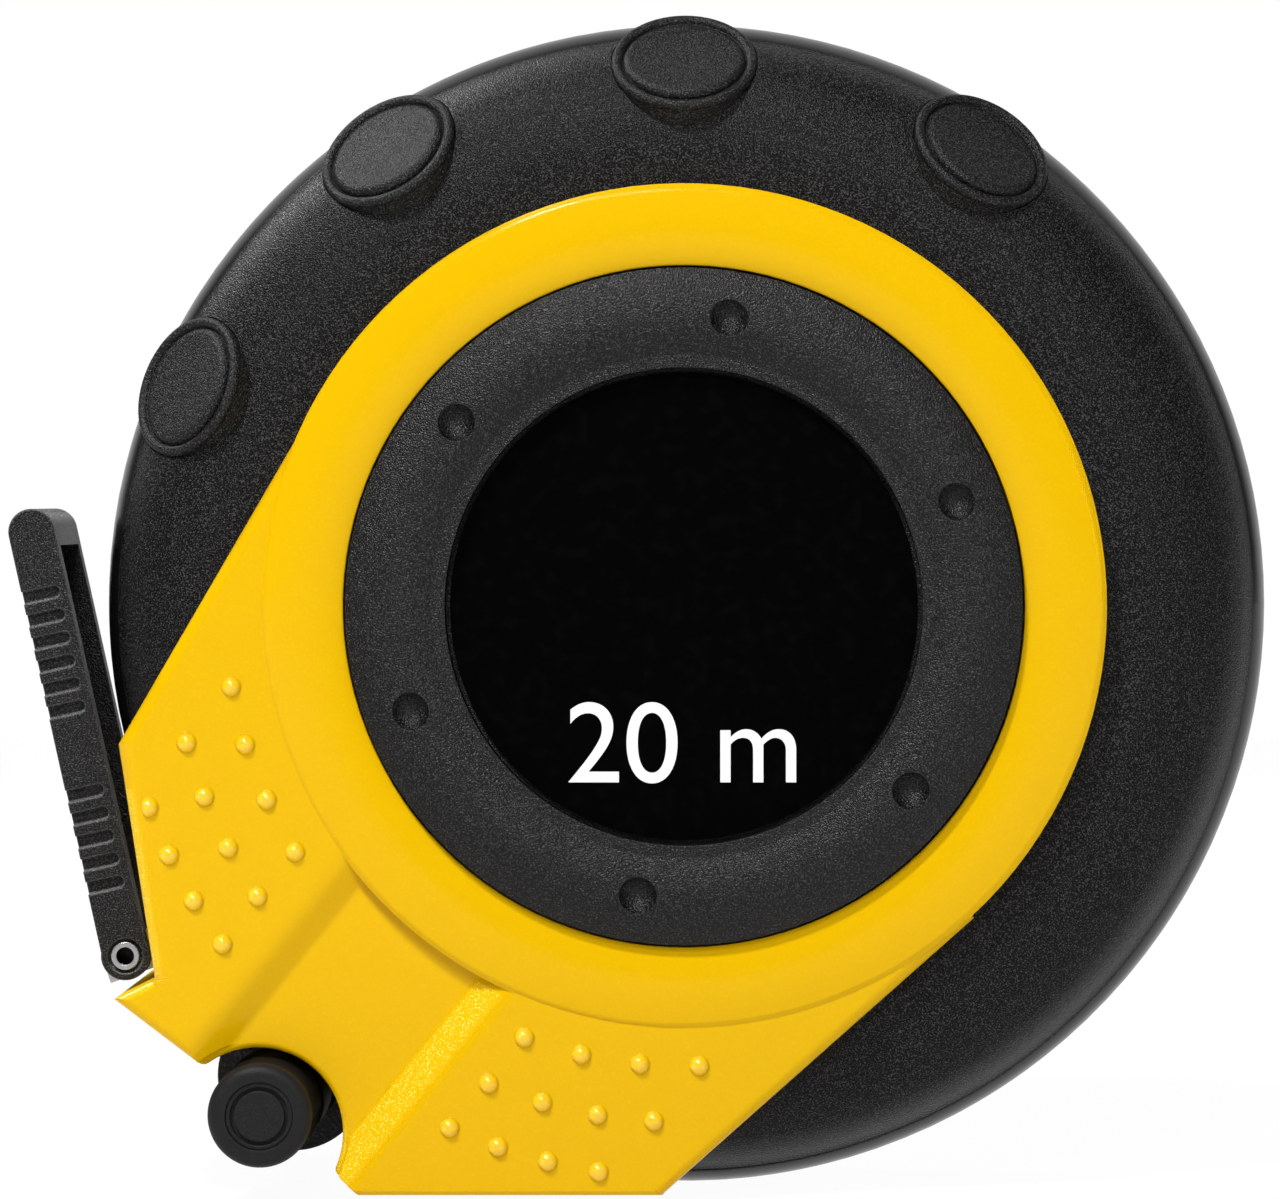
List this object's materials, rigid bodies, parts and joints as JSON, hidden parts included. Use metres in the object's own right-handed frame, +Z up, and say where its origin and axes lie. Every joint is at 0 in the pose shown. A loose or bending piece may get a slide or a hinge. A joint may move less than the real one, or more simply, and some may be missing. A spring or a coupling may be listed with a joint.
{
  "type": "tape reel",
  "caption": "Closed-case long measuring tape reel with a round black case, yellow clamp bracket and foot, hub-driven drum, parked folding crank and a folding end lever on the woven tape.",
  "frame": {"origin": "middle of the bracket's flat foot, in the parting plane of the case", "axes": "+Z up, the reel standing on its foot; +Y along the drum axis from the labelled front to the crank side; +X to the right seen from the front, away from the tape mouth"},
  "size_m": [0.14, 0.0434, 0.1309],
  "materials": {
    "case_black": "fine mould grain",
    "bracket_yellow": "glossy moulded",
    "stud_rubber": "fine grain",
    "screw_steel": "zinc plated",
    "bush_acetal": "smooth",
    "throat_plastic": "smooth",
    "drum_plastic": "smooth",
    "tape_yellow": "coated woven tape",
    "axle_steel": "turned",
    "hub_grey": "satin moulded",
    "label_black": "bare label disc",
    "clip_steel": "bent strip",
    "rivet_steel": "nickel plated",
    "lever_black": "fine mould grain",
    "crank_black": "satin moulded",
    "spring_steel": "wound wire",
    "knob_black": "satin moulded"
  },
  "bodies": {
    "case": {"front_shell": "case_black", "rear_shell": "case_black", "front_bracket": "bracket_yellow", "rear_bracket": "bracket_yellow", "front_studs": "stud_rubber", "rear_studs": "stud_rubber", "shell_screws": "screw_steel", "bracket_screws": "screw_steel", "bearing_bushes": "bush_acetal", "throat_guide": "throat_plastic"},
    "drum": {"drum_core": "drum_plastic", "drum_cheek": "drum_plastic", "tape_roll": "tape_yellow", "tape_anchor_pin": "axle_steel", "drum_axle": "axle_steel", "hub_cover": "hub_grey", "hub_screws": "screw_steel", "label_disc": "label_black"},
    "tape_end": {"tape_lead": "tape_yellow", "end_clip": "clip_steel", "end_rivet": "rivet_steel"},
    "lever": {"end_lever": "lever_black"},
    "crank_carrier": {"crank_plate": "crank_black", "fold_pin": "axle_steel", "freewheel_spring": "spring_steel"},
    "crank": {"crank_arm": "crank_black", "knob_spindle": "axle_steel", "spindle_clip": "spring_steel"},
    "knob": {"crank_knob": "knob_black", "knob_cap": "knob_black"}
  },
  "joints": [
    {"name": "drum_spin", "type": "hinge", "parent": "case", "child": "drum", "pos_m": [0.0189, 0, 0.0652], "axis": [0, 1, 0], "range_deg": [0, 50]},
    {"name": "tape_pull", "type": "slide", "parent": "case", "child": "tape_end", "axis": [-0.9793, 0, 0.2026], "range_m": [0, 0.0428]},
    {"name": "lever_fold", "type": "hinge", "parent": "tape_end", "child": "lever", "pos_m": [-0.0431, 0, 0.0263], "axis": [0, -1, 0], "range_deg": [0, 105]},
    {"name": "crank_turn", "type": "hinge", "parent": "case", "child": "crank_carrier", "pos_m": [0.0189, 0, 0.0652], "axis": [0, 1, 0], "range_deg": [-2.1, 0.9]},
    {"name": "crank_fold", "type": "hinge", "parent": "crank_carrier", "child": "crank", "pos_m": [0.01058, 0.0202, 0.05521], "axis": [0.7683, 0, -0.6401], "range_deg": [0, 180]},
    {"name": "knob_spin", "type": "hinge", "parent": "crank", "child": "knob", "pos_m": [-0.02712, 0, 0.00996], "axis": [0, 1, 0], "continuous": true}
  ],
  "couplings": [
    {"joint": "tape_pull", "follows": "drum_spin", "m_per_rad": 0.04873}
  ]
}
